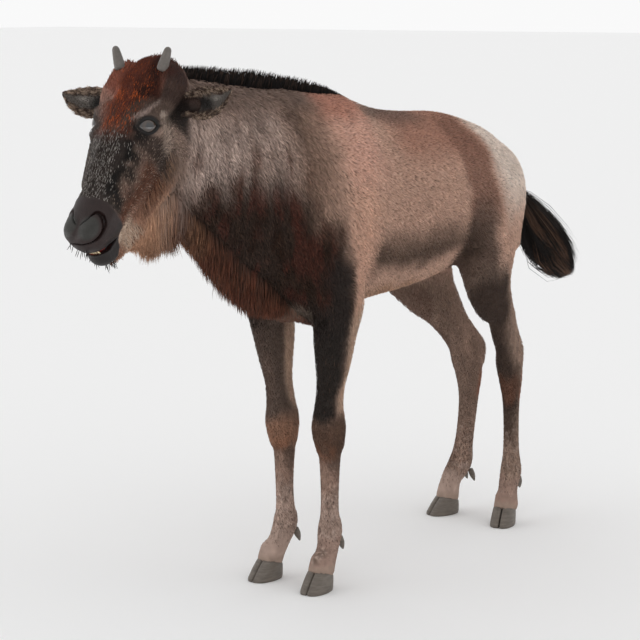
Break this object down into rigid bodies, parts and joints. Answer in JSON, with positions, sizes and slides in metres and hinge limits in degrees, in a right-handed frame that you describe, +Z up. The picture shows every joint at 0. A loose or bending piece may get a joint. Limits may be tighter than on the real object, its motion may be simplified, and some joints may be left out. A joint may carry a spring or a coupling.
{
  "type": "life-size wildebeest calf model",
  "caption": "Life-size still model of a young wildebeest standing square, with short straight horns, upright mane, throat beard and tasselled tail.",
  "frame": {"origin": "centre of the bounding box's bottom face, on the floor under the animal", "axes": "+X towards the animal's own left, +Y towards its tail, so that the head faces -Y, +Z up"},
  "size_m": [0.3912, 1.6292, 1.0472],
  "materials": {
    "coat": "short dense fur, matte, taupe to rust brown with darker flecks and bands",
    "muzzle": "bare smooth skin, slightly moist, dark grey-brown",
    "black_hair": "long coarse hair, dark brown to black, soft sheen",
    "throat_hair": "long soft hair, buff to rust brown",
    "hoof": "hoof horn, grey-brown, satin with fine growth lines",
    "horn": "young horn, grey, satin",
    "eye": "wet dark eyeball, glossy"
  },
  "bodies": {
    "root": {"head": "coat", "neck": "coat", "torso": "coat", "tail": "black_hair", "ear_left": "coat", "eye_left": "eye", "horn_left": "horn", "ear_right": "coat", "eye_right": "eye", "horn_right": "horn", "fore_left_upper": "coat", "fore_left_shank": "coat", "fore_left_pastern": "coat", "fore_left_claw_outer": "hoof", "fore_left_claw_inner": "hoof", "fore_left_dewclaw_outer": "hoof", "fore_left_dewclaw_inner": "hoof", "fore_right_upper": "coat", "fore_right_shank": "coat", "fore_right_pastern": "coat", "fore_right_claw_outer": "hoof", "fore_right_claw_inner": "hoof", "fore_right_dewclaw_outer": "hoof", "fore_right_dewclaw_inner": "hoof", "hind_left_upper": "coat", "hind_left_shank": "coat", "hind_left_pastern": "coat", "hind_left_claw_outer": "hoof", "hind_left_claw_inner": "hoof", "hind_left_dewclaw_outer": "hoof", "hind_left_dewclaw_inner": "hoof", "hind_right_upper": "coat", "hind_right_shank": "coat", "hind_right_pastern": "coat", "hind_right_claw_outer": "hoof", "hind_right_claw_inner": "hoof", "hind_right_dewclaw_outer": "hoof", "hind_right_dewclaw_inner": "hoof"}
  },
  "joints": []
}
